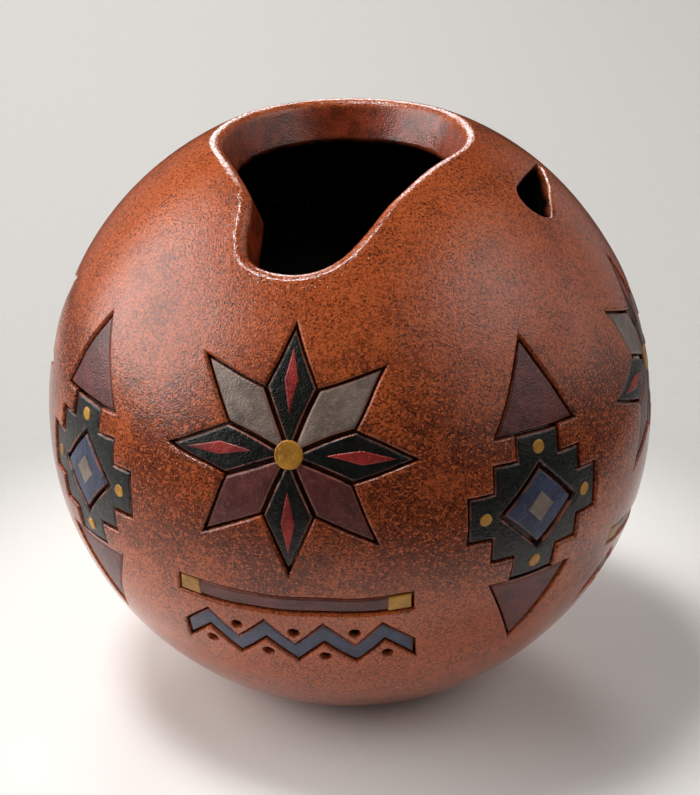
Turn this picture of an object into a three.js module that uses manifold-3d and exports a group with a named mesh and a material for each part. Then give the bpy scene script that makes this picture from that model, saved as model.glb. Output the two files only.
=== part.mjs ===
// Seed pot: a nearly round clay vessel with a free-form mouth, a pierced shoulder hole and a flat foot.
// Shallow pockets are carved into its outside, and each one holds thin plates of coloured slip that are
// parted by incised lines. Millimetres, +Z up, origin at the middle of the foot, front towards -Y.
import * as THREE from 'three';
import { mergeVertices } from 'three/addons/utils/BufferGeometryUtils.js';
import Module from 'manifold-3d';

const wasm = await Module();
wasm.setup();

// Clay body
const BODY_RADIUS = 60;
const BODY_HALF_HEIGHT = 61;
const FOOT_RADIUS = 22;
const WALL = 9;
const FLOOR = 9;

// Mouth, laid out flat around the crown: x to the right, y to the back, as lengths along the surface
const MOUTH_HALF_WIDTH = 24.8;
const MOUTH_BACK = 27;
const MOUTH_X = -1.5;
const MOUTH_Y = -4.5;
const WAIST_X = -20.2;
const WAIST_Y = -27.8;
const NOTCH_LEFT_X = -21.6;
const NOTCH_LEFT_Y = -41;
const NOTCH_FRONT_X = -9.5;
const NOTCH_FRONT_Y = -48.4;
const NOTCH_RIGHT_X = 6.6;
const NOTCH_RIGHT_Y = -36.2;
const SHOULDER_EASE = 0.3;
const NOTCH_EASE = 0.45;
const MOUTH_LEAN = 0.2;
const MOUTH_LIP = 1.4;
const MOUTH_INNER_LIP = 1;

// Shoulder hole: a drop-shaped slot whose narrow end points away from the front and a little upwards
const HOLE_AZIMUTH = 64;
const HOLE_FROM_CROWN = 40.9;
const HOLE_POINT_X = 18.5;
const HOLE_POINT_Y = 5.9;
const HOLE_ROUND_RADIUS = 4.5;
const HOLE_POINT_RADIUS = 0.9;
const HOLE_LIP = 0.8;

// Slip plates and the pockets that hold them
const PLATE_RECESS = 0.35;
const PLATE_THICKNESS = 1.2;
const PLATE_SEAT_GAP = 0.3;
const INCISED_LINE = 0.8;
const POCKET_LAP = 0.05;

// Star motif: eight diamond plates that meet at their points
const STAR_AZIMUTH = -10.5;
const STAR_BELOW_MOUTH = 9;
const STAR_REACH = 23;
const STAR_POINTS = 8;

// River motif, below each star: a straight stripe over a zigzag
const RIVER_BELOW_STAR = 5;
const RIVER_HALF_WIDTH = 22;
const RIVER_STRIPE = 4;
const RIVER_GAP = 2.4;
const ZIGZAG_PEAKS = 4;
const ZIGZAG_RISE = 6;
const ZIGZAG_THICKNESS = 5.6;

// Lozenge motif: a stepped lozenge with a square core, between an upper and a lower arrowhead
const LOZENGE_AZIMUTH = 34.5;
const LOZENGE_ABOVE_EQUATOR = 0;
const LOZENGE_STEPS = 3;
const LOZENGE_STEP_RUN = 5;
const LOZENGE_STEP_RISE = 4.8;
const CORE_HALF_DIAGONAL = 8;
const ARROW_HALF_WIDTH = 9.5;
const ARROW_LENGTH = 17;

// Smoothness of the faceted solids, and the distance under which two points are one
const BODY_SEGMENTS = 36;
const BODY_RINGS = 17;
const CAVITY_SEGMENTS = 28;
const CAVITY_RINGS = 10;
const MOUTH_CURVE_DIVISIONS = 5;
const HOLE_CURVE_DIVISIONS = 4;
const LIP_FACETS = 3;
const SAME_POINT = 1e-4;

// Sizes that follow
const BODY_CENTRE_Z = BODY_HALF_HEIGHT * Math.sqrt(1 - (FOOT_RADIUS / BODY_RADIUS) ** 2);
const POCKET_DEPTH = PLATE_RECESS + PLATE_THICKNESS + PLATE_SEAT_GAP;
const STAR_FROM_CROWN = STAR_BELOW_MOUTH - NOTCH_FRONT_Y + STAR_REACH;
const RIVER_FROM_CROWN = STAR_FROM_CROWN + STAR_REACH + RIVER_BELOW_STAR;
const LOZENGE_FROM_CROWN = BODY_RADIUS * (Math.PI / 2) - LOZENGE_ABOVE_EQUATOR;
const OUTSIDE = -BODY_RADIUS;
const INSIDE = BODY_RADIUS / 2;

const finish = {
  glaze: { color: '#9a4a24', roughness: 0.32, metalness: 0 },
  black: { color: '#15140f', roughness: 0.3, metalness: 0 },
  grey: { color: '#6d5f57', roughness: 0.38, metalness: 0 },
  oxblood: { color: '#52231f', roughness: 0.38, metalness: 0 },
  blue: { color: '#2d3a55', roughness: 0.36, metalness: 0 },
};

// Solids and meshes
function toSolid(geometry) {
  geometry.deleteAttribute('normal');
  geometry.deleteAttribute('uv');
  const merged = mergeVertices(geometry, SAME_POINT);
  const corners = merged.index.array;
  const triangles = [];
  for (let i = 0; i < corners.length; i += 3) {
    const [a, b, c] = corners.slice(i, i + 3);
    if (a !== b && b !== c && c !== a) triangles.push(a, b, c);
  }
  return new wasm.Manifold(new wasm.Mesh({
    numProp: 3,
    vertProperties: new Float32Array(merged.attributes.position.array),
    triVerts: new Uint32Array(triangles),
  }));
}

function toMesh(name, solid, look) {
  const { vertProperties, triVerts } = solid.getMesh();
  const geometry = new THREE.BufferGeometry();
  geometry.setAttribute('position', new THREE.BufferAttribute(vertProperties, 3));
  geometry.setIndex(new THREE.BufferAttribute(triVerts, 1));
  geometry.computeVertexNormals();
  const mesh = new THREE.Mesh(geometry, new THREE.MeshStandardMaterial(look));
  mesh.name = name;
  return mesh;
}

function revolve(profile, segments) {
  const geometry = new THREE.LatheGeometry(profile, segments);
  geometry.rotateX(Math.PI / 2);
  return toSolid(geometry);
}

// An egg inside the body's outline by the given inset, cut flat at a height if one is given
function bodyOfRevolution(inset, segments, rings, flatAt = null) {
  const radius = BODY_RADIUS - inset;
  const halfHeight = BODY_HALF_HEIGHT - inset;
  const footAngle = -Math.acos(FOOT_RADIUS / BODY_RADIUS);
  const startAngle = flatAt === null ? footAngle : Math.asin((flatAt - BODY_CENTRE_Z) / halfHeight);
  const lowest = flatAt === null ? BODY_CENTRE_Z - halfHeight : flatAt;
  const profile = [new THREE.Vector2(0, lowest)];
  for (let ring = 0; ring < rings; ring += 1) {
    const angle = THREE.MathUtils.lerp(startAngle, Math.PI / 2, ring / rings);
    profile.push(new THREE.Vector2(radius * Math.cos(angle), BODY_CENTRE_Z + halfHeight * Math.sin(angle)));
  }
  profile.push(new THREE.Vector2(0, BODY_CENTRE_Z + halfHeight));
  return revolve(profile, segments);
}

// A place on the pot: its azimuth from the front and its distance from the crown along the surface
function placeOnPot(azimuthDegrees, fromCrown) {
  const azimuth = THREE.MathUtils.degToRad(azimuthDegrees);
  const colatitude = fromCrown / BODY_RADIUS;
  const outward = new THREE.Vector3(
    Math.sin(colatitude) * Math.sin(azimuth),
    -Math.sin(colatitude) * Math.cos(azimuth),
    Math.cos(colatitude),
  );
  const right = new THREE.Vector3(Math.cos(azimuth), Math.sin(azimuth), 0);
  const up = new THREE.Vector3().crossVectors(outward, right);
  return { outward, right, up };
}

// A flat point wrapped around the pot from a place, at a depth under its surface
function wrap(place, point, depth) {
  const reach = point.length();
  const angle = reach / BODY_RADIUS;
  const spread = reach > 0 ? Math.sin(angle) / reach : 0;
  const direction = place.outward.clone().multiplyScalar(Math.cos(angle));
  direction.addScaledVector(place.right, point.x * spread);
  direction.addScaledVector(place.up, point.y * spread);
  const across = Math.hypot(direction.x, direction.y) / BODY_RADIUS;
  const along = direction.z / BODY_HALF_HEIGHT;
  direction.multiplyScalar(1 / Math.hypot(across, along) - depth);
  return direction.add(new THREE.Vector3(0, 0, BODY_CENTRE_Z));
}

// An anticlockwise outline moved outwards by a distance, or inwards if it is negative
function grow(outline, distance) {
  return outline.map((corner, i) => {
    const before = corner.clone().sub(outline.at(i - 1)).normalize();
    const after = outline[(i + 1) % outline.length].clone().sub(corner).normalize();
    const bend = new THREE.Vector2(before.y + after.y, -before.x - after.x);
    return corner.clone().addScaledVector(bend, distance / (1 + before.dot(after)));
  });
}

// A loft through the wall along rays from the body's centre, one ring for each station
function loft(place, outline, stations) {
  const count = outline.length;
  const points = stations.flatMap(({ spread, depth }) => {
    return grow(outline, spread).map((point) => wrap(place, point, depth));
  });
  const lid = THREE.ShapeUtils.triangulateShape(outline, []);
  const top = (stations.length - 1) * count;
  const faces = lid.flatMap(([a, b, c]) => [c, b, a, top + a, top + b, top + c]);
  for (let ring = 0; ring < top; ring += count) {
    for (let i = 0; i < count; i += 1) {
      const near = ring + i;
      const next = ring + ((i + 1) % count);
      faces.push(near, next, next + count, near, next + count, near + count);
    }
  }
  const geometry = new THREE.BufferGeometry().setFromPoints(points);
  geometry.setIndex(faces);
  return toSolid(geometry);
}

function prism(place, outline, spread) {
  return loft(place, outline, [{ spread, depth: INSIDE }, { spread, depth: OUTSIDE }]);
}

// A cut through the wall whose edges are rounded over, with the outline halfway round its outer edge
function roundedCut(place, outline, outerLip, innerLip) {
  const stations = [{ spread: innerLip, depth: 2 * WALL }, { spread: innerLip, depth: WALL }];
  stations.push({ spread: 0, depth: WALL - innerLip });
  for (let facet = LIP_FACETS; facet >= 0; facet -= 1) {
    const angle = (facet / LIP_FACETS) * (Math.PI / 2);
    stations.push({ spread: outerLip * (1 - Math.sin(angle)), depth: outerLip * (1 - Math.cos(angle)) });
  }
  stations.push({ spread: outerLip, depth: OUTSIDE });
  return loft(place, grow(outline, -outerLip / 2), stations);
}

// Flat outlines
function corner(x, y) {
  return new THREE.Vector2(x, y);
}

function mirrored(outline) {
  return outline.map(({ x, y }) => corner(-x, y)).reverse();
}

function turnedOver(outline) {
  return outline.map(({ x, y }) => corner(x, -y)).reverse();
}

function pointsOf(shape, divisions) {
  const points = shape.getPoints(divisions);
  if (points[0].distanceTo(points.at(-1)) < SAME_POINT) points.pop();
  return points;
}

function mouthOutline() {
  const { lerp } = THREE.MathUtils;
  const right = MOUTH_X + MOUTH_HALF_WIDTH;
  const left = MOUTH_X - MOUTH_HALF_WIDTH;
  const leanX = MOUTH_LEAN * (right - NOTCH_RIGHT_X);
  const leanY = MOUTH_LEAN * (MOUTH_Y - NOTCH_RIGHT_Y);
  const shape = new THREE.Shape();
  shape.moveTo(right, MOUTH_Y);
  shape.absellipse(MOUTH_X, MOUTH_Y, MOUTH_HALF_WIDTH, MOUTH_BACK, 0, Math.PI, false, 0);
  shape.bezierCurveTo(
    left, lerp(MOUTH_Y, WAIST_Y, SHOULDER_EASE),
    lerp(WAIST_X, left, MOUTH_LEAN), lerp(WAIST_Y, MOUTH_Y, MOUTH_LEAN),
    WAIST_X, WAIST_Y,
  );
  shape.bezierCurveTo(
    WAIST_X, lerp(WAIST_Y, NOTCH_LEFT_Y, NOTCH_EASE),
    NOTCH_LEFT_X, lerp(NOTCH_LEFT_Y, WAIST_Y, NOTCH_EASE),
    NOTCH_LEFT_X, NOTCH_LEFT_Y,
  );
  shape.bezierCurveTo(
    NOTCH_LEFT_X, lerp(NOTCH_LEFT_Y, NOTCH_FRONT_Y, NOTCH_EASE),
    lerp(NOTCH_FRONT_X, NOTCH_LEFT_X, NOTCH_EASE), NOTCH_FRONT_Y,
    NOTCH_FRONT_X, NOTCH_FRONT_Y,
  );
  shape.bezierCurveTo(
    lerp(NOTCH_FRONT_X, NOTCH_RIGHT_X, NOTCH_EASE), NOTCH_FRONT_Y,
    NOTCH_RIGHT_X - leanX, NOTCH_RIGHT_Y - leanY,
    NOTCH_RIGHT_X, NOTCH_RIGHT_Y,
  );
  shape.bezierCurveTo(
    NOTCH_RIGHT_X + leanX, NOTCH_RIGHT_Y + leanY,
    right, lerp(MOUTH_Y, NOTCH_RIGHT_Y, SHOULDER_EASE),
    right, MOUTH_Y,
  );
  return pointsOf(shape, MOUTH_CURVE_DIVISIONS);
}

function holeOutline() {
  const tilt = Math.atan2(HOLE_POINT_Y, HOLE_POINT_X);
  const taper = Math.asin((HOLE_ROUND_RADIUS - HOLE_POINT_RADIUS) / Math.hypot(HOLE_POINT_X, HOLE_POINT_Y));
  const above = Math.PI / 2 + tilt - taper;
  const below = tilt + taper - Math.PI / 2;
  const shape = new THREE.Shape();
  shape.absarc(0, 0, HOLE_ROUND_RADIUS, above, below + 2 * Math.PI, false);
  shape.absarc(HOLE_POINT_X, HOLE_POINT_Y, HOLE_POINT_RADIUS, below, above, false);
  return pointsOf(shape, HOLE_CURVE_DIVISIONS);
}

// Right half of a flight of steps that narrows upwards from a half width
function steps(count, halfWidth, run, rise) {
  return Array.from({ length: count }, (_, i) => [
    corner(halfWidth - i * run, i * rise),
    corner(halfWidth - i * run, (i + 1) * rise),
  ]).flat();
}

// Motifs: each plate has its outline, with the lines between neighbours not yet cut
function starPlates() {
  const looks = [finish.black, finish.grey, finish.black, finish.oxblood];
  const directions = ['up', 'up_left', 'left', 'down_left', 'down', 'down_right', 'right', 'up_right'];
  const turn = (2 * Math.PI) / STAR_POINTS;
  const side = STAR_REACH / (2 * Math.cos(turn / 2));
  const along = (angle, length) => corner(-length * Math.sin(angle), length * Math.cos(angle));
  return directions.map((direction, i) => ({
    name: `star_${direction}`,
    outline: [
      corner(0, 0),
      along((i - 1 / 2) * turn, side),
      along(i * turn, STAR_REACH),
      along((i + 1 / 2) * turn, side),
    ],
    look: looks[Math.min(i, STAR_POINTS - i) % looks.length],
  }));
}

function riverPlates() {
  const stripeFoot = -RIVER_STRIPE;
  const stripe = [
    corner(-RIVER_HALF_WIDTH, 0),
    corner(-RIVER_HALF_WIDTH, stripeFoot),
    corner(RIVER_HALF_WIDTH, stripeFoot),
    corner(RIVER_HALF_WIDTH, 0),
  ];
  const run = RIVER_HALF_WIDTH / ZIGZAG_PEAKS;
  const crest = stripeFoot - RIVER_GAP;
  const upperEdge = Array.from({ length: 2 * ZIGZAG_PEAKS + 1 }, (_, i) => {
    return corner(RIVER_HALF_WIDTH - i * run, i % 2 === 1 ? crest : crest - ZIGZAG_RISE);
  });
  const lowerEdge = upperEdge.map(({ x, y }) => corner(x, y - ZIGZAG_THICKNESS)).reverse();
  return [
    { name: 'stripe', outline: stripe, look: finish.oxblood },
    { name: 'zigzag', outline: [...upperEdge, ...lowerEdge], look: finish.blue },
  ];
}

function lozengePlates() {
  const halfWidth = LOZENGE_STEPS * LOZENGE_STEP_RUN;
  const halfHeight = LOZENGE_STEPS * LOZENGE_STEP_RISE;
  const rightSteps = steps(LOZENGE_STEPS, halfWidth, LOZENGE_STEP_RUN, LOZENGE_STEP_RISE).slice(1);
  const upperHalf = [...rightSteps, ...mirrored(rightSteps)];
  const core = [
    corner(CORE_HALF_DIAGONAL, 0),
    corner(0, CORE_HALF_DIAGONAL),
    corner(-CORE_HALF_DIAGONAL, 0),
    corner(0, -CORE_HALF_DIAGONAL),
  ];
  const arrow = [
    corner(-ARROW_HALF_WIDTH, halfHeight),
    corner(ARROW_HALF_WIDTH, halfHeight),
    corner(0, halfHeight + ARROW_LENGTH),
  ];
  return [
    { name: 'lozenge', outline: [...upperHalf, ...turnedOver(upperHalf)], hole: core, look: finish.black },
    { name: 'core', outline: core, look: finish.blue },
    { name: 'arrow_up', outline: arrow, look: finish.oxblood },
    { name: 'arrow_down', outline: turnedOver(arrow), look: finish.oxblood },
  ];
}

// Every motif is carved once on each side of the pot
const starSides = ['front', 'right', 'back', 'left'];
const lozengeSides = ['front_right', 'back_right', 'back_left', 'front_left'];
const motifs = [
  { plates: starPlates(), sides: starSides, azimuth: STAR_AZIMUTH, fromCrown: STAR_FROM_CROWN },
  { plates: riverPlates(), sides: starSides, azimuth: STAR_AZIMUTH, fromCrown: RIVER_FROM_CROWN },
  { plates: lozengePlates(), sides: lozengeSides, azimuth: LOZENGE_AZIMUTH, fromCrown: LOZENGE_FROM_CROWN },
];

const skin = (inset) => bodyOfRevolution(inset, BODY_SEGMENTS, BODY_RINGS);
const slipShell = skin(PLATE_RECESS).subtract(skin(PLATE_RECESS + PLATE_THICKNESS));
const pocketFloor = skin(POCKET_DEPTH);

const pot = new THREE.Group();
let clay = bodyOfRevolution(0, BODY_SEGMENTS, BODY_RINGS, 0);
clay = clay.subtract(bodyOfRevolution(WALL, CAVITY_SEGMENTS, CAVITY_RINGS, FLOOR));
clay = clay.subtract(roundedCut(placeOnPot(0, 0), mouthOutline(), MOUTH_LIP, MOUTH_INNER_LIP));
const holePlace = placeOnPot(HOLE_AZIMUTH, HOLE_FROM_CROWN);
clay = clay.subtract(roundedCut(holePlace, holeOutline(), HOLE_LIP, HOLE_LIP));

for (const { plates, sides, azimuth, fromCrown } of motifs) {
  const group = new THREE.Group();
  sides.forEach((side, i) => {
    const place = placeOnPot(azimuth + (i * 360) / sides.length, fromCrown);
    for (const { name, outline, hole, look } of plates) {
      let plate = prism(place, outline, -INCISED_LINE / 2).intersect(slipShell);
      if (hole) plate = plate.subtract(prism(place, hole, INCISED_LINE / 2));
      clay = clay.subtract(prism(place, outline, POCKET_LAP).subtract(pocketFloor));
      group.add(toMesh(`${side}_${name}`, plate, look));
    }
  });
  pot.add(group);
}
pot.add(toMesh('vessel', clay, finish.glaze));

export default pot;
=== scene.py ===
# Seed pot: a hand-built clay vessel, carved, filled with coloured slips and glazed.
# Metres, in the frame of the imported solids: +Z up, origin in the middle of the foot, front towards -Y.
import math

import bmesh
import bpy
from mathutils import Matrix, Vector, geometry, noise


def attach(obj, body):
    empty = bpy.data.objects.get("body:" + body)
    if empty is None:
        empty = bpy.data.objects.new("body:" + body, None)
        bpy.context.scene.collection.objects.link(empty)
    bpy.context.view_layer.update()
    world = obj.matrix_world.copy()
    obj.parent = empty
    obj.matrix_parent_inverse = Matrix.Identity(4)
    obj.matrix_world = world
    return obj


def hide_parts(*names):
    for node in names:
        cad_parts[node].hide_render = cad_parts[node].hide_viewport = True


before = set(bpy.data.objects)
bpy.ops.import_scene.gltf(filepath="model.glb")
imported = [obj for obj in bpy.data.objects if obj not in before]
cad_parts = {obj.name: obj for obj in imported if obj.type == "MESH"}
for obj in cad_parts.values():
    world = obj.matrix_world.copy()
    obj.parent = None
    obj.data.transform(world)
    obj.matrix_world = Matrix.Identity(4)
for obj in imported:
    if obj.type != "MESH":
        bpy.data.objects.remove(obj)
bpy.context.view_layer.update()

MM = 0.001

# Clay body
BODY_RADIUS = 60 * MM
BODY_HALF_HEIGHT = 61 * MM
FOOT_RADIUS = 22 * MM
FOOT_ROUND = 1.2 * MM
WALL = 9 * MM
FLOOR = 9 * MM
DENT_DEPTH = 0.25 * MM
DENTS_ROUND_POT = 2.3

# Mouth, laid out flat around the crown: x to the right, y to the back, as lengths along the surface
MOUTH_HALF_WIDTH = 24.8 * MM
MOUTH_BACK = 27 * MM
MOUTH_MIDDLE = Vector((-1.5, -4.5)) * MM
WAIST = Vector((-20.2, -27.8)) * MM
NOTCH_LEFT = Vector((-21.6, -41)) * MM
NOTCH_FRONT = Vector((-9.5, -48.4)) * MM
NOTCH_RIGHT = Vector((6.6, -36.2)) * MM
SHOULDER_EASE = 0.3
NOTCH_EASE = 0.45
MOUTH_LEAN = 0.2
MOUTH_LIP = 2.2 * MM
MOUTH_INNER_LIP = 1 * MM

# Shoulder hole: a drop-shaped slot whose narrow end points away from the front and a little upwards
HOLE_AZIMUTH = 64
HOLE_FROM_CROWN = 40.9 * MM
HOLE_POINT = Vector((18.5, 5.9)) * MM
HOLE_ROUND_RADIUS = 4.5 * MM
HOLE_POINT_RADIUS = 0.9 * MM
HOLE_LIP = 0.8 * MM

# Slip plates and the pockets that hold them
PLATE_RECESS = 0.35 * MM
PLATE_THICKNESS = 1.2 * MM
PLATE_SEAT_GAP = 0.3 * MM
PLATE_EDGE = 0.6 * MM
POCKET_EDGE = 0.55 * MM
INCISED_LINE = 0.8 * MM
INLAY_STAND = 0.18 * MM
INLAY_SUNK = 0.3 * MM
HAND_DRIFT = 0.45 * MM
HAND_DRIFT_LENGTH = 10 * MM
HAND_SEED = 1
MOUTH_HAND = 12
HOLE_HAND = 13

# Star motif: eight diamond plates that meet at their points
STAR_AZIMUTH = -10.5
STAR_BELOW_MOUTH = 9 * MM
STAR_REACH = 23 * MM
STAR_POINTS = 8
STAR_BOSS_RADIUS = 2.7 * MM
SLIVER_START = 6.5 * MM
SLIVER_END = 19 * MM
SLIVER_HALF_WIDTH = 1.3 * MM

# River motif, below each star: a straight stripe over a zigzag, with drilled dots in its bends
RIVER_BELOW_STAR = 5 * MM
RIVER_HALF_WIDTH = 22 * MM
RIVER_STRIPE = 4 * MM
RIVER_GAP = 2.4 * MM
STRIPE_END_BLOCK = 4 * MM
ZIGZAG_PEAKS = 4
ZIGZAG_RISE = 6 * MM
ZIGZAG_THICKNESS = 5.6 * MM
DOT_RADIUS = 1.1 * MM
DOT_DEPTH = 1.8 * MM
DOT_OFF_ZIGZAG = 3.4 * MM

# Lozenge motif: a stepped lozenge with a square core, between an upper and a lower arrowhead
LOZENGE_AZIMUTH = 34.5
LOZENGE_STEPS = 3
LOZENGE_STEP_RUN = 5 * MM
LOZENGE_STEP_RISE = 4.8 * MM
CORE_HALF_DIAGONAL = 8 * MM
CORE_HEART_HALF_DIAGONAL = 3 * MM
LOZENGE_DOT_REACH = 11.4 * MM
LOZENGE_DOT_RADIUS = 1.3 * MM
ARROW_HALF_WIDTH = 9.5 * MM
ARROW_LENGTH = 17 * MM

# Fineness of the meshes
BODY_SEGMENTS = 216
BODY_RINGS = 120
CAVITY_SEGMENTS = 96
CAVITY_RINGS = 56
CURVE_POINTS = 14
HALF_MOUTH_POINTS = 40
DOT_POINTS = 18
FACET = 2.2 * MM
LIP_FACETS = 8
EDGE_FACETS = 4
LIP_SWEEP = math.radians(75)
SHARP_ANGLE = math.radians(40)

# Sizes that follow
BODY_CENTRE = Vector((0, 0, BODY_HALF_HEIGHT * math.sqrt(1 - (FOOT_RADIUS / BODY_RADIUS) ** 2)))
POCKET_DEPTH = PLATE_RECESS + PLATE_THICKNESS + PLATE_SEAT_GAP
STAR_FROM_CROWN = STAR_BELOW_MOUTH - NOTCH_FRONT.y + STAR_REACH
RIVER_FROM_CROWN = STAR_FROM_CROWN + STAR_REACH + RIVER_BELOW_STAR
LOZENGE_FROM_CROWN = BODY_RADIUS * math.pi / 2
CLEAR_OF_SURFACE = 3 * MM

# Camera, from the photograph: its height over the horizon, its distance and its field of view
CAMERA_ELEVATION = math.radians(22.5)
CAMERA_DISTANCE = 6.5 * BODY_RADIUS
CAMERA_LENS = 87.7
CAMERA_SENSOR = 36
CAMERA_AIM_RAISED = 0.6 * MM


# Shape of the pot's outside
def surface_radius(direction):
    across = math.hypot(direction.x, direction.y) / BODY_RADIUS
    along = direction.z / BODY_HALF_HEIGHT
    dent = DENT_DEPTH * noise.noise(direction * DENTS_ROUND_POT)
    return 1 / math.hypot(across, along) + dent


def place_on_pot(azimuth_degrees, from_crown):
    """Right, up and outward axes at an azimuth from the front and a distance from the crown."""
    azimuth = math.radians(azimuth_degrees)
    colatitude = from_crown / BODY_RADIUS
    ring = math.sin(colatitude)
    outward = Vector((ring * math.sin(azimuth), -ring * math.cos(azimuth), math.cos(colatitude)))
    right = Vector((math.cos(azimuth), math.sin(azimuth), 0))
    return Matrix((right, outward.cross(right), outward)).transposed()


def wrap(place, point):
    """A flat point, with its height over the surface as z, wrapped around the pot from a place."""
    reach = math.hypot(point.x, point.y)
    angle = reach / BODY_RADIUS
    spread = math.sin(angle) / reach if reach else 0
    direction = place @ Vector((point.x * spread, point.y * spread, math.cos(angle)))
    return BODY_CENTRE + direction * (surface_radius(direction) + point.z)


def hand_drawn(point, hand):
    """A flat point moved as by an unsteady tool: each hand drifts in its own way."""
    drift = noise.noise_vector(Vector((point.x, point.y, hand * BODY_RADIUS)) / HAND_DRIFT_LENGTH)
    return point + HAND_DRIFT * Vector((drift.x, drift.y, 0))


# Flat outlines, anticlockwise
def grow(outline, distance):
    grown = []
    for i, corner in enumerate(outline):
        before = (corner - outline[i - 1]).normalized()
        after = (outline[(i + 1) % len(outline)] - corner).normalized()
        bend = Vector((before.y + after.y, -before.x - after.x))
        grown.append(corner + bend * (distance / (1 + before.dot(after))))
    return grown


def arc(middle, radius, start, end, points):
    turns = [start + (end - start) * i / points for i in range(points)]
    return [middle + radius * Vector((math.cos(turn), math.sin(turn))) for turn in turns]


def circle(radius, points, middle=Vector((0, 0))):
    return arc(middle, radius, 0, 2 * math.pi, points)


def mirrored(outline):
    return [Vector((-corner.x, corner.y)) for corner in reversed(outline)]


def turned_over(outline):
    return [Vector((corner.x, -corner.y)) for corner in reversed(outline)]


def curve(start, start_handle, end_handle, end):
    """Points of a curve, without its end."""
    return [point.to_2d() for point in geometry.interpolate_bezier(
        start.to_3d(), start_handle.to_3d(), end_handle.to_3d(), end.to_3d(), CURVE_POINTS)][:-1]


def mouth_outline():
    right = MOUTH_MIDDLE + Vector((MOUTH_HALF_WIDTH, 0))
    left = MOUTH_MIDDLE - Vector((MOUTH_HALF_WIDTH, 0))
    lean = MOUTH_LEAN * (right - NOTCH_RIGHT)

    def eased(corner, towards, ease=NOTCH_EASE):
        return corner + Vector((0, ease * (towards.y - corner.y)))

    def eased_across(corner, towards):
        return corner + Vector((NOTCH_EASE * (towards.x - corner.x), 0))

    def at_back(point):
        return MOUTH_MIDDLE + Vector((MOUTH_HALF_WIDTH * point.x, MOUTH_BACK * point.y))

    front_from_left = eased_across(NOTCH_FRONT, NOTCH_LEFT)
    front_to_right = eased_across(NOTCH_FRONT, NOTCH_RIGHT)
    return [
        *map(at_back, arc(Vector((0, 0)), 1, 0, math.pi, HALF_MOUTH_POINTS)),
        *curve(left, eased(left, WAIST, SHOULDER_EASE), WAIST.lerp(left, MOUTH_LEAN), WAIST),
        *curve(WAIST, eased(WAIST, NOTCH_LEFT), eased(NOTCH_LEFT, WAIST), NOTCH_LEFT),
        *curve(NOTCH_LEFT, eased(NOTCH_LEFT, NOTCH_FRONT), front_from_left, NOTCH_FRONT),
        *curve(NOTCH_FRONT, front_to_right, NOTCH_RIGHT - lean, NOTCH_RIGHT),
        *curve(NOTCH_RIGHT, NOTCH_RIGHT + lean, eased(right, NOTCH_RIGHT, SHOULDER_EASE), right),
    ]


def hole_outline():
    tilt = math.atan2(HOLE_POINT.y, HOLE_POINT.x)
    taper = math.asin((HOLE_ROUND_RADIUS - HOLE_POINT_RADIUS) / HOLE_POINT.length)
    above = math.pi / 2 + tilt - taper
    below = tilt + taper - math.pi / 2
    round_end = arc(Vector((0, 0)), HOLE_ROUND_RADIUS, above, below + 2 * math.pi, CURVE_POINTS)
    point_end = arc(HOLE_POINT, HOLE_POINT_RADIUS, below, above, CURVE_POINTS)
    return round_end + point_end


def hole_middle():
    return wrap(place_on_pot(HOLE_AZIMUTH, HOLE_FROM_CROWN), (HOLE_POINT / 2).to_3d())


def star_diamond(number):
    turn = 2 * math.pi / STAR_POINTS
    side = STAR_REACH / (2 * math.cos(turn / 2))

    def along(angle, length):
        return Vector((-length * math.sin(angle), length * math.cos(angle)))

    return [
        Vector((0, 0)),
        along((number - 0.5) * turn, side),
        along(number * turn, STAR_REACH),
        along((number + 0.5) * turn, side),
    ]


def star_sliver(number):
    along = Vector((0, 1))
    across = Vector((1, 0))
    middle = (SLIVER_START + SLIVER_END) / 2
    sliver = [
        SLIVER_START * along,
        middle * along + SLIVER_HALF_WIDTH * across,
        SLIVER_END * along,
        middle * along - SLIVER_HALF_WIDTH * across,
    ]
    turn = Matrix.Rotation(2 * math.pi * number / STAR_POINTS, 2)
    return [turn @ corner for corner in sliver]


def star_outline():
    diamonds = [star_diamond(number) for number in range(STAR_POINTS)]
    return [corner for diamond in diamonds for corner in diamond[1:3]]


def bar(left, right, foot, top):
    return [Vector((left, foot)), Vector((right, foot)), Vector((right, top)), Vector((left, top))]


def stripe_outline():
    return bar(-RIVER_HALF_WIDTH, RIVER_HALF_WIDTH, -RIVER_STRIPE, 0)


def zigzag_edge():
    """Upper edge of the zigzag, from right to left."""
    run = RIVER_HALF_WIDTH / ZIGZAG_PEAKS
    crest = -RIVER_STRIPE - RIVER_GAP
    return [
        Vector((RIVER_HALF_WIDTH - i * run, crest if i % 2 else crest - ZIGZAG_RISE))
        for i in range(2 * ZIGZAG_PEAKS + 1)
    ]


def zigzag_outline():
    upper = zigzag_edge()
    lower = [corner - Vector((0, ZIGZAG_THICKNESS)) for corner in reversed(upper)]
    return upper + lower


def zigzag_dots():
    """Middles of the dots: over each inner valley of the zigzag and under each of its crests."""
    bends = zigzag_edge()
    over = [bend + Vector((0, DOT_OFF_ZIGZAG)) for bend in bends[2:-1:2]]
    under = [bend - Vector((0, ZIGZAG_THICKNESS + DOT_OFF_ZIGZAG)) for bend in bends[1::2]]
    return over + under


def lozenge_half():
    """Upper half of the stepped lozenge, from its right corner to its left one."""
    right = []
    for i in range(LOZENGE_STEPS):
        across = (LOZENGE_STEPS - i) * LOZENGE_STEP_RUN
        right += [Vector((across, i * LOZENGE_STEP_RISE)), Vector((across, (i + 1) * LOZENGE_STEP_RISE))]
    right = right[1:]
    return right + mirrored(right)


def lozenge_outline():
    return lozenge_half() + turned_over(lozenge_half())


def core_outline():
    return circle(CORE_HALF_DIAGONAL, 4)


def lozenge_dots():
    """Outlines of the four dots around the core."""
    return [circle(LOZENGE_DOT_RADIUS, DOT_POINTS, middle) for middle in circle(LOZENGE_DOT_REACH, 4)]


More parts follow.
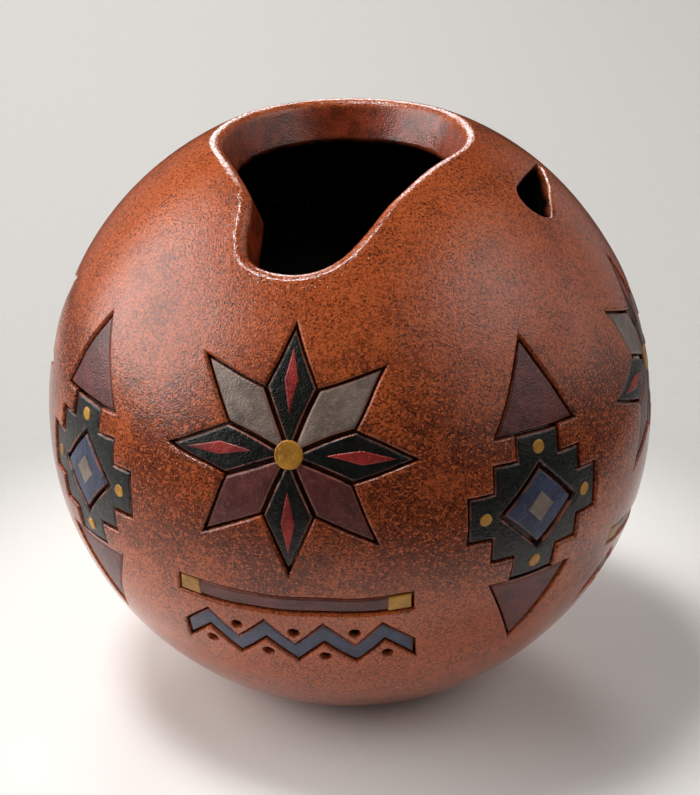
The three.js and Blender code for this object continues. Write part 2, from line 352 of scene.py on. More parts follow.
def arrow_outline():
    foot = LOZENGE_STEPS * LOZENGE_STEP_RISE
    return [
        Vector((-ARROW_HALF_WIDTH, foot)),
        Vector((ARROW_HALF_WIDTH, foot)),
        Vector((0, foot + ARROW_LENGTH)),
    ]


def lozenge_pocket_outline():
    """The lozenge and both arrowheads as one outline."""
    half = lozenge_half()
    arrow = arrow_outline()
    steps = LOZENGE_STEPS * 2 - 1
    upper = half[:steps] + [arrow[1], arrow[2], arrow[0]] + half[steps:]
    return upper + turned_over(upper)


# Flat solids, wrapped around the pot
def flat_loft(outline, rings):
    """A closed flat solid: at each ring's height the outline is moved outwards by the ring's spread."""
    mesh = bmesh.new()
    number_of = mesh.verts.layers.int.new("corner")
    spread, height = rings[0]
    corners = []
    for number, point in enumerate(grow(outline, spread)):
        corner = mesh.verts.new((point.x, point.y, height))
        corner[number_of] = number
        corners.append(corner)
    lid = mesh.faces.new(corners)
    for spread, height in rings[1:]:
        moved = grow(outline, spread)
        made = bmesh.ops.extrude_face_region(mesh, geom=[lid, *lid.edges])["geom"]
        lid = next(item for item in made if isinstance(item, bmesh.types.BMFace))
        for corner in lid.verts:
            point = moved[corner[number_of]]
            corner.co = (point.x, point.y, height)
    sides = {}
    for edge in mesh.edges:
        first, last = sorted(corner[number_of] for corner in edge.verts)
        if first != last:
            sides.setdefault((first, last), []).append(edge)
    for (first, last), edges in sides.items():
        cuts = math.ceil((outline[last] - outline[first]).length / FACET) - 1
        if cuts > 0:
            bmesh.ops.subdivide_edges(mesh, edges=edges, cuts=cuts, use_grid_fill=True)
    refine(mesh)
    bmesh.ops.recalc_face_normals(mesh, faces=mesh.faces[:])
    return mesh


def refine(mesh):
    """Triangles with no side much longer than a facet, so that a flat face can follow the pot's curve."""
    bmesh.ops.triangulate(mesh, faces=mesh.faces[:], ngon_method="BEAUTY")
    longest = FACET * math.sqrt(2)
    long_edges = [edge for edge in mesh.edges if edge.calc_length() > longest]
    while long_edges:
        bmesh.ops.subdivide_edges(mesh, edges=long_edges, cuts=1)
        bmesh.ops.triangulate(mesh, faces=mesh.faces[:])
        long_edges = [edge for edge in mesh.edges if edge.calc_length() > longest]


def laid_on_pot(mesh, place, hand):
    """Wraps a flat mesh around the pot, and keeps each point's height over the surface as an attribute."""
    height = mesh.verts.layers.float.new("height")
    for vert in mesh.verts:
        vert[height] = vert.co.z
        vert.co = wrap(place, hand_drawn(vert.co, hand))
    return mesh


def rounded_rim(radius, facets):
    """Rings that flare a cut's wall into the surface, from the wall outwards."""
    rings = []
    for i in range(facets + 1):
        angle = LIP_SWEEP * i / facets
        rings.append((radius * (1 - math.cos(angle)), radius * (math.sin(angle) - 1)))
    spread, depth = rings[-1]
    past_surface = -2 * depth
    spread += past_surface * math.tan(LIP_SWEEP)
    return rings + [(spread, depth + past_surface), (spread, CLEAR_OF_SURFACE)]


def through_cut(place, outline, outer_lip, inner_lip, hand):
    """A tool that cuts through the wall and rounds both edges of the cut."""
    inner = []
    for i in range(LIP_FACETS + 1):
        angle = LIP_SWEEP * (1 - i / LIP_FACETS)
        inner.append((inner_lip * (1 - math.cos(angle)), inner_lip * (1 - math.sin(angle)) - WALL))
    deep = (inner[0][0] + inner_lip, -WALL - inner_lip / 2)
    rings = [(deep[0], -2 * WALL), deep, *inner, *rounded_rim(outer_lip, LIP_FACETS)]
    return laid_on_pot(flat_loft(grow(outline, -outer_lip / 2), rings), place, hand)


def pocket_cut(place, outline, hand):
    rings = [(0, -POCKET_DEPTH), *rounded_rim(POCKET_EDGE, EDGE_FACETS)]
    return laid_on_pot(flat_loft(outline, rings), place, hand)


def dot_cut(place, middle, hand):
    """A tool for a drilled dot: a small flat bottom, a steep side and a rounded edge."""
    outline = circle(DOT_RADIUS, DOT_POINTS, middle)
    bottom = [(-DOT_RADIUS / 2, -DOT_DEPTH), (-DOT_RADIUS / 8, -DOT_DEPTH * 0.8)]
    rings = bottom + rounded_rim(DOT_RADIUS / 3, EDGE_FACETS)
    return laid_on_pot(flat_loft(outline, rings), place, hand)


def cushioned(outline, sunk, stand, edge):
    """A thin flat solid from a depth to a height, with a rounded upper edge."""
    rings = [(0, -sunk)]
    for i in range(EDGE_FACETS + 1):
        angle = math.pi / 2 * i / EDGE_FACETS
        rings.append((edge * (math.cos(angle) - 1), stand + edge * (math.sin(angle) - 1)))
    return flat_loft(outline, rings)


def slip_plate(place, outline, hand):
    fitted = grow(outline, -INCISED_LINE / 2)
    plate = cushioned(fitted, PLATE_RECESS + PLATE_THICKNESS, -PLATE_RECESS, PLATE_EDGE)
    return laid_on_pot(plate, place, hand)


def slip_inlay(place, outline, hand):
    """A thin touch of slip on top of the plates."""
    edge = INLAY_STAND + INLAY_SUNK / 2
    inlay = cushioned(outline, PLATE_RECESS + INLAY_SUNK, INLAY_STAND - PLATE_RECESS, edge)
    return laid_on_pot(inlay, place, hand)


def clay_egg(inset, segments, rings, flat_at):
    """The pot's outline, less an inset, cut flat at a height."""
    mesh = bmesh.new()
    bmesh.ops.create_uvsphere(mesh, u_segments=segments, v_segments=rings, radius=1)
    for vert in mesh.verts:
        vert.co = BODY_CENTRE + vert.co * (surface_radius(vert.co) - inset)
    everything = mesh.verts[:] + mesh.edges[:] + mesh.faces[:]
    bmesh.ops.bisect_plane(
        mesh, geom=everything, plane_co=(0, 0, flat_at), plane_no=(0, 0, 1), clear_inner=True)
    rim = [edge for edge in mesh.edges if edge.is_boundary]
    bmesh.ops.edgeloop_fill(mesh, edges=rim)
    bmesh.ops.bevel(
        mesh, geom=rim, offset=FOOT_ROUND, segments=EDGE_FACETS, profile=0.5, affect="EDGES", material=-1)
    bmesh.ops.recalc_face_normals(mesh, faces=mesh.faces[:])
    return mesh


# Objects
def joined(meshes):
    whole = bmesh.new()
    for mesh in meshes:
        data = bpy.data.meshes.new("part")
        mesh.to_mesh(data)
        mesh.free()
        whole.from_mesh(data)
        bpy.data.meshes.remove(data)
    return whole


def to_object(name, mesh):
    data = bpy.data.meshes.new(name)
    mesh.to_mesh(data)
    mesh.free()
    thing = bpy.data.objects.new(name, data)
    bpy.context.scene.collection.objects.link(thing)
    return thing


def cut_by(thing, tool_mesh):
    tool = to_object(f"{thing.name}_tool", tool_mesh)
    cut = thing.modifiers.new("cut", "BOOLEAN")
    cut.operation = "DIFFERENCE"
    cut.solver = "EXACT"
    cut.object = tool
    whole = thing.evaluated_get(bpy.context.evaluated_depsgraph_get())
    data = bpy.data.meshes.new_from_object(whole)
    thing.modifiers.clear()
    thing.data = data
    bpy.data.objects.remove(tool)


def finished(thing, material, slot, *nodes):
    thing.data.materials.clear()
    thing.data.materials.append(material)
    thing.data.shade_smooth()
    thing.data.set_sharp_from_angle(angle=SHARP_ANGLE)
    normals = thing.modifiers.new("even shading", "WEIGHTED_NORMAL")
    normals.keep_sharp = True
    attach(thing, "root")
    if nodes:
        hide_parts(*nodes)


# Colours, from sRGB levels of 0 to 255
def linear(red, green, blue):
    def level(value):
        share = value / 255
        return share / 12.92 if share <= 0.04045 else ((share + 0.055) / 1.055) ** 2.4

    return level(red), level(green), level(blue), 1.0


SIENNA_DEEP = linear(166, 76, 37)
SIENNA_LIGHT = linear(190, 93, 46)
SIENNA_BLOTCH = linear(190, 100, 52)
# Iron clouds, and painted shade in the band around the belly
IRON_AND_SHADE_BROWN = linear(84, 33, 17)
GRAIN_BROWN = linear(90, 38, 22)
FLECK_ORANGE = linear(190, 94, 52)
SPECK_BROWN = linear(54, 24, 16)
# Pooled glaze with painted shade in the carving, and near-black painted shade at its deepest
POOLED_GLAZE_AND_SHADE_BROWN = linear(58, 25, 16)
CARVING_SHADE_BLACK = linear(24, 13, 10)
CUT_FACE_RED = linear(130, 52, 29)
CUT_FACE_BROWN = linear(84, 32, 18)
INSIDE_BLACK = linear(10, 9, 7)
CLAY_SHADE = linear(164, 114, 84)
CLAY_LIGHT = linear(188, 138, 104)
GROG_BROWN = linear(126, 82, 58)
SMUDGE_BLACK = linear(30, 24, 20)
WORN_EDGE = linear(150, 90, 72)
CREVICE_SHADE_BROWN = linear(34, 16, 11)
PAPER_SHADE = linear(174, 171, 167)
PAPER_LIGHT = linear(180, 177, 173)
PAINTED_LIGHT_POOL = linear(228, 225, 221)

# Where the glaze changes on the pot, and the band of painted shade around the belly
BELLY_SHADE_BAND_HEIGHT = 62 * MM
BELLY_SHADE_BAND_REACH = 32 * MM
BELLY_SHADE_BAND_CORE = 6 * MM
MOUTH_ZONE_START = 94 * MM
MOUTH_ZONE_FULL = 96 * MM
HOLE_ZONE_START = 17 * MM
HOLE_ZONE_FULL = 14 * MM
GLAZE_BUMP = 0.07 * MM
SLIP_BUMP = 0.1 * MM


# Shading
class Nodes:
    """Adds nodes to one tree, with values or links on their inputs."""

    def __init__(self, tree):
        self.tree = tree

    def add(self, kind, inputs, **settings):
        node = self.tree.nodes.new(kind)
        for name, value in settings.items():
            setattr(node, name, value)
        for key, value in inputs.items():
            if isinstance(value, bpy.types.NodeSocket):
                self.tree.links.new(value, node.inputs[key])
            else:
                node.inputs[key].default_value = value
        return node

    def math(self, operation, *values):
        return self.add("ShaderNodeMath", dict(enumerate(values)), operation=operation).outputs[0]

    def vector(self, operation, *values):
        return self.add("ShaderNodeVectorMath", dict(enumerate(values)), operation=operation).outputs

    def mix(self, share, first, second):
        return self.add("ShaderNodeMix", {0: share, 6: first, 7: second}, data_type="RGBA").outputs[2]

    def tint(self, colour, mask, strength, tint):
        """A colour moved towards a tint, by a mask times a strength."""
        return self.mix(self.math("MULTIPLY", mask, strength), colour, tint)

    def rise(self, value, low, high):
        """0 below low, 1 above high, with a soft step between them, or the other way round."""
        limits = {"Value": value, "From Min": low, "From Max": high}
        return self.add("ShaderNodeMapRange", limits, interpolation_type="SMOOTHSTEP").outputs[0]

    def spread(self, value, low, high, start=0.0, end=1.0):
        """Low where a value is at its start, high at its end, and even between them."""
        limits = {"Value": value, "From Min": start, "From Max": end, "To Min": low, "To Max": high}
        return self.add("ShaderNodeMapRange", limits).outputs[0]

    def cloud(self, position, size, detail=2.0):
        """Noise from 0 to 1 with features of about a size in metres."""
        inputs = {"Vector": position, "Scale": 1 / size, "Detail": detail}
        return self.add("ShaderNodeTexNoise", inputs).outputs[0]

    def link(self, value, shader, name):
        self.tree.links.new(value, shader.inputs[name])


def effect(name, inputs, output):
    """An empty shader group that puts out one value, with its nodes and its input ends."""
    tree = bpy.data.node_groups.new(name, "ShaderNodeTree")
    for label, kind in inputs.items():
        tree.interface.new_socket(name=label, in_out="INPUT", socket_type=kind)
    tree.interface.new_socket(name=output, in_out="OUTPUT", socket_type="NodeSocketFloat")
    nodes = Nodes(tree)
    start = nodes.add("NodeGroupInput", {})
    return nodes, start.outputs


def close_effect(nodes, value):
    nodes.add("NodeGroupOutput", {0: value})
    return nodes.tree


def make_specks():
    """Ragged grains of many sizes, up to about half of Size across, and more of them with a higher Share."""
    sockets = {"Position": "NodeSocketVector", "Size": "NodeSocketFloat", "Share": "NodeSocketFloat"}
    nodes, given = effect("iron specks", sockets, "Mask")
    scale = nodes.math("DIVIDE", 1.0, given["Size"])
    scaled = nodes.add("ShaderNodeVectorMath", {
        0: given["Position"], "Scale": scale}, operation="SCALE").outputs["Vector"]
    ragged = nodes.add("ShaderNodeTexNoise", {"Vector": scaled, "Scale": 2.0, "Detail": 1.0})
    shaken = nodes.vector("MULTIPLY_ADD", ragged.outputs["Color"], (0.4, 0.4, 0.4), scaled)["Vector"]
    cells = nodes.add("ShaderNodeTexVoronoi", {"Vector": shaken, "Scale": 1.0}).outputs
    chance = nodes.add("ShaderNodeSeparateXYZ", {0: cells["Color"]}).outputs["X"]
    radius = nodes.math("MULTIPLY", nodes.math("POWER", chance, 2.0), given["Share"])
    return close_effect(nodes, nodes.rise(nodes.math("SUBTRACT", radius, cells["Distance"]), -0.06, 0.1))


def make_orange_peel():
    """Height, around 0, of the fine bumps that a glaze or slip keeps from brush, grog and firing."""
    sockets = {"Position": "NodeSocketVector", "Grain": "NodeSocketFloat"}
    nodes, given = effect("orange peel", sockets, "Height")
    broad = nodes.math("SUBTRACT", nodes.cloud(given["Position"], 1.6 * MM, 1.0), 0.5)
    fine = nodes.math("SUBTRACT", nodes.cloud(given["Position"], 0.33 * MM, 1.0), 0.5)
    return close_effect(nodes, nodes.math("MULTIPLY_ADD", fine, given["Grain"], broad))


def make_wall_depth():
    """Depth under the pot's outside, in metres."""
    nodes, given = effect("depth in the wall", {"Position": "NodeSocketVector"}, "Depth")
    from_centre = nodes.vector("SUBTRACT", given["Position"], BODY_CENTRE)["Vector"]
    squashed = nodes.vector("MULTIPLY", from_centre, (1, 1, BODY_RADIUS / BODY_HALF_HEIGHT))["Vector"]
    reach = nodes.vector("LENGTH", squashed)["Value"]
    return close_effect(nodes, nodes.math("SUBTRACT", BODY_RADIUS, reach))


specks = make_specks()
orange_peel = make_orange_peel()
wall_depth = make_wall_depth()


def new_material(name):
    material = bpy.data.materials.new(name)
    material.use_nodes = True
    nodes = Nodes(material.node_tree)
    shader = material.node_tree.nodes["Principled BSDF"]
    position = nodes.add("ShaderNodeTexCoord", {}).outputs["Object"]
    return material, nodes, shader, position


def use(nodes, group, **inputs):
    return nodes.add("ShaderNodeGroup", inputs, node_tree=group).outputs[0]


def bumped(nodes, shader, height, distance):
    bump = nodes.add("ShaderNodeBump", {"Height": height, "Distance": distance, "Strength": 1.0})
    nodes.link(bump.outputs[0], shader, "Normal")


def glaze_on_wall(nodes, position, height, blotches, grain):
    """Clouds of sienna, iron clouds and a darker band around the belly that is partly painted shade, fine
    grain, pale flecks and dark specks.
    """
    clouds = nodes.rise(nodes.cloud(position, 26 * MM), 0.3, 0.7)
    colour = nodes.mix(clouds, SIENNA_DEEP, SIENNA_LIGHT)
    colour = nodes.tint(colour, blotches, 0.35, SIENNA_BLOTCH)

    # Painted shade: a darker band around the belly, which also holds more iron and more specks
    off_belly_shade_band = nodes.math("ABSOLUTE", nodes.math("SUBTRACT", height, BELLY_SHADE_BAND_HEIGHT))
    belly_shade_band = nodes.rise(off_belly_shade_band, BELLY_SHADE_BAND_REACH, BELLY_SHADE_BAND_CORE)
    iron_and_shade_cloud = nodes.math("MULTIPLY_ADD", belly_shade_band, 0.2, nodes.cloud(position, 13 * MM, 3.0))
    iron = nodes.rise(iron_and_shade_cloud, 0.53, 0.76)
    colour = nodes.tint(colour, iron, 0.76, IRON_AND_SHADE_BROWN)
    colour = nodes.tint(colour, grain, 0.64, GRAIN_BROWN)

    flecks = use(nodes, specks, Position=position, Size=0.42 * MM, Share=0.85)
    fleck_strength = nodes.math("MULTIPLY_ADD", iron, 0.3, 0.52)
    colour = nodes.tint(colour, flecks, fleck_strength, FLECK_ORANGE)

    elsewhere = nodes.vector("ADD", position, (0.7, 0.3, 0.1))["Vector"]
    drifts = nodes.spread(nodes.cloud(position, 7 * MM, 3.0), 0.4, 0.9, 0.3, 0.7)
    share = nodes.math("MULTIPLY_ADD", belly_shade_band, 0.3, drifts)
    dark = use(nodes, specks, Position=elsewhere, Size=0.34 * MM, Share=share)
    return nodes.tint(colour, dark, 0.8, SPECK_BROWN)


def glaze_in_carving(nodes, colour, depth, below_mouth):
    """Glaze that pools dark in the pockets and dots, with painted shade there too, near black in their
    deepest parts.
    """
    # Painted shade: the pooled glaze tint also stands for the shade in the pockets and dots
    pooled_glaze_and_shade = nodes.math("MULTIPLY", nodes.rise(depth, 0.6 * MM, 1.1 * MM), below_mouth)
    colour = nodes.tint(colour, pooled_glaze_and_shade, 0.85, POOLED_GLAZE_AND_SHADE_BROWN)
    # Painted shade, near black, in the deepest parts of the pockets and dots
    deepest_shade = nodes.math("MULTIPLY", nodes.rise(depth, 0.9 * MM, 1.5 * MM), below_mouth)
    return nodes.mix(deepest_shade, colour, CARVING_SHADE_BLACK)


def glaze_through_wall(nodes, colour, position, depth, ragged):
    """Runs of red and brown glaze on the cut faces, and near black from there inwards, starting less deep
    near the hole.
    """
    runs = nodes.rise(nodes.cloud(position, 3 * MM, 3.0), 0.35, 0.65)
    cut_face = nodes.mix(runs, CUT_FACE_RED, CUT_FACE_BROWN)
    colour = nodes.tint(colour, nodes.rise(depth, 0.8 * MM, 3 * MM), 0.85, cut_face)
    off_hole = nodes.vector("DISTANCE", position, hole_middle())["Value"]
    near_hole = nodes.rise(off_hole, HOLE_ZONE_START, HOLE_ZONE_FULL)
    reach = nodes.math("MULTIPLY_ADD", near_hole, 7.2 * MM, nodes.math("ADD", depth, ragged))
    inside = nodes.rise(reach, 8.4 * MM, 10.6 * MM)
    return nodes.mix(inside, colour, INSIDE_BLACK)


def sienna_glaze():
    """Speckled glaze outside, dark where it pools in the carving and with painted shade there, near black
    inside, and bare clay under the foot.
    """
    material, nodes, shader, position = new_material("speckled sienna glaze")
    height = nodes.add("ShaderNodeSeparateXYZ", {0: position}).outputs["Z"]
    depth = use(nodes, wall_depth, Position=position)
    below_mouth = nodes.rise(height, MOUTH_ZONE_FULL, MOUTH_ZONE_START)
    blotches = nodes.rise(nodes.cloud(position, 4 * MM, 4.0), 0.3, 0.7)
    grain = nodes.rise(nodes.cloud(position, 0.45 * MM, 2.0), 0.36, 0.64)
    ragged = nodes.math("MULTIPLY", nodes.cloud(position, 4 * MM, 3.0), 2.4 * MM)

    colour = glaze_on_wall(nodes, position, height, blotches, grain)
    colour = glaze_in_carving(nodes, colour, depth, below_mouth)
    colour = glaze_through_wall(nodes, colour, position, depth, ragged)
    bare = nodes.rise(nodes.math("MULTIPLY_ADD", ragged, 0.5, height), 2.2 * MM, 1.2 * MM)
    clay = nodes.mix(blotches, CLAY_SHADE, CLAY_LIGHT)
    clay = nodes.tint(clay, grain, 0.35, GROG_BROWN)
    nodes.link(nodes.mix(bare, colour, clay), shader, "Base Color")

    sheen = nodes.spread(nodes.cloud(position, 5 * MM, 3.0), 0.07, 0.14)
    nodes.link(nodes.mix(bare, sheen, (0.8, 0.8, 0.8, 1)), shader, "Roughness")

    above_inner = nodes.rise(depth, 2.4 * MM, 1.2 * MM)
    rolled = nodes.math("MULTIPLY", nodes.rise(depth, 0.05 * MM, 0.3 * MM), above_inner)
    lip = nodes.math("MULTIPLY", rolled, nodes.math("SUBTRACT", 1.0, below_mouth))
    peel = use(nodes, orange_peel, Position=position, Grain=1.15)
    uneven = nodes.math("MULTIPLY", peel, nodes.math("MULTIPLY_ADD", lip, 0.35, 1.0))
    bumped(nodes, shader, uneven, GLAZE_BUMP)
    return material


def slip(name, colour, shade, tint, roughness):
    """A brushed slip under thin glaze, with clouds, brush marks and smudges, worn to clay at its edges, and
    painted shade where its edges drop into the grooves.
    """
    material, nodes, shader, position = new_material(name)
    clouds = nodes.rise(nodes.cloud(position, 4.5 * MM, 3.0), 0.3, 0.75)
    body = nodes.mix(clouds, shade, colour)
    marks = nodes.rise(nodes.cloud(position, 0.9 * MM, 5.0), 0.5, 0.75)
    body = nodes.tint(body, marks, 0.4, tint)
    smudges = nodes.rise(nodes.cloud(position, 7 * MM, 4.0), 0.6, 0.68)
    body = nodes.tint(body, smudges, 0.35, SMUDGE_BLACK)

    height = nodes.add("ShaderNodeAttribute", {}, attribute_name="height").outputs["Fac"]
    below_top = nodes.math("SUBTRACT", -PLATE_RECESS, height)
    worn = nodes.rise(nodes.cloud(position, 2.5 * MM, 2.0), 0.25, 0.6)
    edge = nodes.math("MULTIPLY", nodes.rise(below_top, 0.04 * MM, 0.2 * MM), worn)
    body = nodes.tint(body, edge, 0.95, WORN_EDGE)
    # Painted shade: darker on the lower part of each plate's rounded edge, down in the groove
    body = nodes.mix(nodes.rise(below_top, 0.4 * MM, 0.6 * MM), body, CREVICE_SHADE_BROWN)
    nodes.link(body, shader, "Base Color")

    sheen = nodes.spread(nodes.cloud(position, 1.2 * MM, 3.0), roughness - 0.1, roughness + 0.08)
    nodes.link(sheen, shader, "Roughness")
    bumped(nodes, shader, use(nodes, orange_peel, Position=position, Grain=1.1), SLIP_BUMP)
    return material


glaze = sienna_glaze()
slips = {
    "black_slip": slip("black slip", linear(22, 23, 19), linear(10, 10, 8), linear(48, 46, 40), 0.3),
    "grey_slip": slip("grey slip", linear(134, 116, 105), linear(102, 86, 76), linear(158, 142, 132), 0.36),
    "oxblood_slip": slip("oxblood slip", linear(104, 48, 44), linear(72, 31, 28), linear(130, 78, 72), 0.36),
    "blue_slip": slip("blue slip", linear(54, 63, 92), linear(34, 40, 62), linear(86, 92, 112), 0.34),
    "red_slip": slip("red slip", linear(156, 40, 34), linear(112, 24, 20), linear(178, 80, 70), 0.34),
    "ochre_slip": slip("ochre slip", linear(186, 132, 34), linear(142, 92, 22), linear(208, 164, 78), 0.36),
}

# Motifs: where each is carved, and the plates that fill it with the slot of each one's slip
STAR_SIDES = ("front", "right", "back", "left")
LOZENGE_SIDES = ("front_right", "back_right", "back_left", "front_left")
STAR_DIRECTIONS = ("up", "up_left", "left", "down_left", "down", "down_right", "right", "up_right")
STAR_SLOTS = {
    "up": "black_slip", "left": "black_slip", "down": "black_slip", "right": "black_slip",
    "up_left": "grey_slip", "up_right": "grey_slip",
    "down_left": "oxblood_slip", "down_right": "oxblood_slip",
}


def add_plate(name, slot, place, outline, hand, hole=None):
    plate = to_object(f"{name}_slip", slip_plate(place, outline, hand))
    if hole:
        fitted = grow(hole, INCISED_LINE / 2)
        rim = [(spread, height - PLATE_RECESS) for spread, height in rounded_rim(PLATE_EDGE, EDGE_FACETS)]
        tool = flat_loft(fitted, [(0, -PLATE_RECESS - PLATE_THICKNESS - CLEAR_OF_SURFACE), *rim])
        cut_by(plate, laid_on_pot(tool, place, hand))
    finished(plate, slips[slot], slot, name)


def add_inlay(name, slot, place, outlines, hand):
    touches = [slip_inlay(place, outline, hand) for outline in outlines]
    finished(to_object(name, joined(touches)), slips[slot], slot)


def add_star(side, place, hand):
    for number, direction in enumerate(STAR_DIRECTIONS):
        add_plate(f"{side}_star_{direction}", STAR_SLOTS[direction], place, star_diamond(number), hand)
    slivers = [star_sliver(number) for number in range(0, STAR_POINTS, 2)]
    add_inlay(f"{side}_star_slivers", "red_slip", place, slivers, hand)
    add_inlay(f"{side}_star_boss", "ochre_slip", place, [circle(STAR_BOSS_RADIUS, DOT_POINTS)], hand)
    return [pocket_cut(place, star_outline(), hand)]


def add_river(side, place, hand):
    add_plate(f"{side}_stripe", "oxblood_slip", place, stripe_outline(), hand)
    add_plate(f"{side}_zigzag", "blue_slip", place, zigzag_outline(), hand)
    outer = RIVER_HALF_WIDTH - INCISED_LINE / 2
    block = bar(outer - STRIPE_END_BLOCK, outer, INCISED_LINE / 2 - RIVER_STRIPE, -INCISED_LINE / 2)
    add_inlay(f"{side}_stripe_ends", "ochre_slip", place, [block, mirrored(block)], hand)
    dots = [dot_cut(place, middle, hand) for middle in zigzag_dots()]
    pockets = [pocket_cut(place, outline, hand) for outline in (stripe_outline(), zigzag_outline())]
    return pockets + dots


def add_lozenge(side, place, hand):
    add_plate(f"{side}_lozenge", "black_slip", place, lozenge_outline(), hand, core_outline())
    add_plate(f"{side}_core", "blue_slip", place, core_outline(), hand)
    add_plate(f"{side}_arrow_up", "oxblood_slip", place, arrow_outline(), hand)
    add_plate(f"{side}_arrow_down", "oxblood_slip", place, turned_over(arrow_outline()), hand)
    add_inlay(f"{side}_core_heart", "grey_slip", place, [circle(CORE_HEART_HALF_DIAGONAL, 4)], hand)
    add_inlay(f"{side}_lozenge_dots", "ochre_slip", place, lozenge_dots(), hand)
    return [pocket_cut(place, lozenge_pocket_outline(), hand)]


def add_vessel(carving):
    vessel = to_object("vessel_clay", clay_egg(0, BODY_SEGMENTS, BODY_RINGS, 0))
    cut_by(vessel, clay_egg(WALL, CAVITY_SEGMENTS, CAVITY_RINGS, FLOOR))
    mouth = through_cut(place_on_pot(0, 0), mouth_outline(), MOUTH_LIP, MOUTH_INNER_LIP, MOUTH_HAND)
    hole_place = place_on_pot(HOLE_AZIMUTH, HOLE_FROM_CROWN)
    hole = through_cut(hole_place, hole_outline(), HOLE_LIP, HOLE_LIP, HOLE_HAND)
    cut_by(vessel, joined([mouth, hole, *carving]))
    finished(vessel, glaze, "glazed_clay", "vessel")


def add_pot():
    carving = []
    for number, (star_side, lozenge_side) in enumerate(zip(STAR_SIDES, LOZENGE_SIDES)):
        turn = 360 * number / len(STAR_SIDES)
        star_place = place_on_pot(STAR_AZIMUTH + turn, STAR_FROM_CROWN)
        carving += add_star(star_side, star_place, number)
        river_place = place_on_pot(STAR_AZIMUTH + turn, RIVER_FROM_CROWN)
        carving += add_river(star_side, river_place, number + len(STAR_SIDES))
        lozenge_place = place_on_pot(LOZENGE_AZIMUTH + turn, LOZENGE_FROM_CROWN)
        carving += add_lozenge(lozenge_side, lozenge_place, number + 2 * len(STAR_SIDES))
    add_vessel(carving)


# Studio: a pale floor, soft lights and the camera
FLOOR_RADIUS = 4.0
FLOOR_SEGMENTS = 96
SHEET_HALF_WIDTH = 0.21
SHEET_HALF_DEPTH = 0.23
SHEET_MIDDLE = Vector((-0.025, 0.09, 0))
PAINTED_LIGHT_POOL_RADIUS = 0.14
WORLD_GREY = 0.03


def aim(thing, target):
    thing.rotation_euler = (target - thing.location).to_track_quat("-Z", "Y").to_euler()


def pale_paper():
    """Paper with faint fibres, and a painted pool of light under and around the pot."""
    material, nodes, shader, position = new_material("pale paper")
    fibres = nodes.mix(nodes.cloud(position, 4 * MM), PAPER_SHADE, PAPER_LIGHT)
    from_pot = nodes.vector("LENGTH", position)["Value"]
    # Painted pool of light: paler paper under and around the pot
    painted_light_pool = nodes.rise(from_pot, PAINTED_LIGHT_POOL_RADIUS, PAINTED_LIGHT_POOL_RADIUS / 2)
    nodes.link(nodes.mix(painted_light_pool, fibres, PAINTED_LIGHT_POOL), shader, "Base Color")
    shader.inputs["Roughness"].default_value = 0.7
    return material


def oval(filled):
    mesh = bmesh.new()
    bmesh.ops.create_circle(mesh, segments=FLOOR_SEGMENTS, radius=1, cap_ends=filled)
    bmesh.ops.scale(mesh, verts=mesh.verts[:], vec=(SHEET_HALF_WIDTH, SHEET_HALF_DEPTH, 1))
    bmesh.ops.translate(mesh, verts=mesh.verts[:], vec=SHEET_MIDDLE)
    return mesh


def add_floor():
    """An oval sheet under the pot, set flush in a wide floor that the glaze doesn't mirror."""
    paper = pale_paper()
    surround = oval(filled=False)
    widened = bmesh.ops.extrude_edge_only(surround, edges=surround.edges[:])["geom"]
    for item in widened:
        if isinstance(item, bmesh.types.BMVert):
            item.co = FLOOR_RADIUS * item.co.normalized()
    for name, mesh in (("studio_sheet", oval(filled=True)), ("studio_floor", surround)):
        bmesh.ops.recalc_face_normals(mesh, faces=mesh.faces[:])
        floor = to_object(name, mesh)
        floor.data.materials.append(paper)
        floor.visible_glossy = name == "studio_sheet"


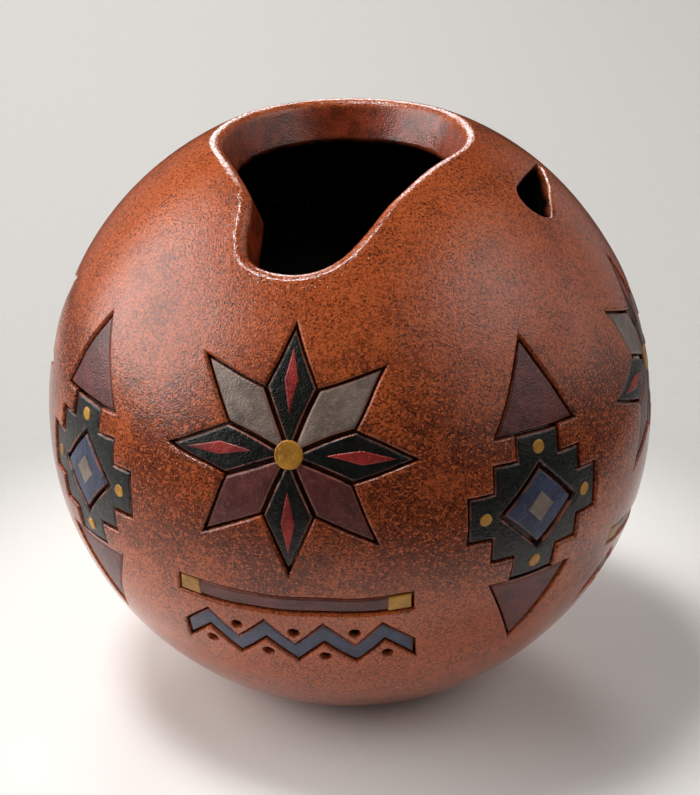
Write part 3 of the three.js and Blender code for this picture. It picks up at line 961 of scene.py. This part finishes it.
def add_softbox(name, azimuth, elevation, distance, width, height, watts):
    """A soft light that faces the pot, at an azimuth from the front and an elevation in degrees."""
    data = bpy.data.lights.new(name, "AREA")
    data.shape = "RECTANGLE"
    data.size = width
    data.size_y = height
    data.energy = watts
    light = bpy.data.objects.new(name, data)
    bpy.context.scene.collection.objects.link(light)
    turn = math.radians(azimuth)
    lift = math.radians(elevation)
    level = distance * math.cos(lift)
    light.location = BODY_CENTRE + Vector((
        level * math.sin(turn), -level * math.cos(turn), distance * math.sin(lift)))
    aim(light, BODY_CENTRE)


def add_lights():
    add_softbox("left_key", azimuth=-92, elevation=25, distance=1.9, width=2.1, height=1.5, watts=36)
    add_softbox("left_fill", azimuth=-85, elevation=27, distance=1.5, width=2.75, height=1.7, watts=8.8)
    add_softbox("right_key", azimuth=76, elevation=42, distance=1.9, width=1.1, height=1, watts=4.4)
    add_softbox("right_fill", azimuth=78, elevation=30, distance=1.5, width=2.25, height=1.7, watts=7)
    add_softbox("top", azimuth=-101, elevation=73, distance=2, width=0.5, height=0.5, watts=26)
    add_softbox("back", azimuth=-174, elevation=27, distance=2.2, width=0.7, height=0.7, watts=15)
    add_softbox("left_wing", azimuth=-140, elevation=3, distance=1.8, width=1.5, height=0.9, watts=0.6)
    add_softbox("right_wing", azimuth=128, elevation=6, distance=1.8, width=2, height=1.1, watts=1.8)


def add_world():
    world = bpy.data.worlds.new("studio air")
    world.use_nodes = True
    background = world.node_tree.nodes["Background"]
    background.inputs["Color"].default_value = (WORLD_GREY, WORLD_GREY, WORLD_GREY, 1)
    bpy.context.scene.world = world


def add_camera():
    data = bpy.data.cameras.new("camera")
    data.lens = CAMERA_LENS
    data.sensor_width = CAMERA_SENSOR
    camera = bpy.data.objects.new("camera", data)
    bpy.context.scene.collection.objects.link(camera)
    camera.location = BODY_CENTRE + CAMERA_DISTANCE * Vector((
        0, -math.cos(CAMERA_ELEVATION), math.sin(CAMERA_ELEVATION)))
    aim(camera, BODY_CENTRE + Vector((0, 0, CAMERA_AIM_RAISED)))
    bpy.context.scene.camera = camera


noise.seed_set(HAND_SEED)
add_camera()
add_pot()
add_floor()
add_world()
add_lights()
bpy.context.scene.view_settings.view_transform = "Standard"
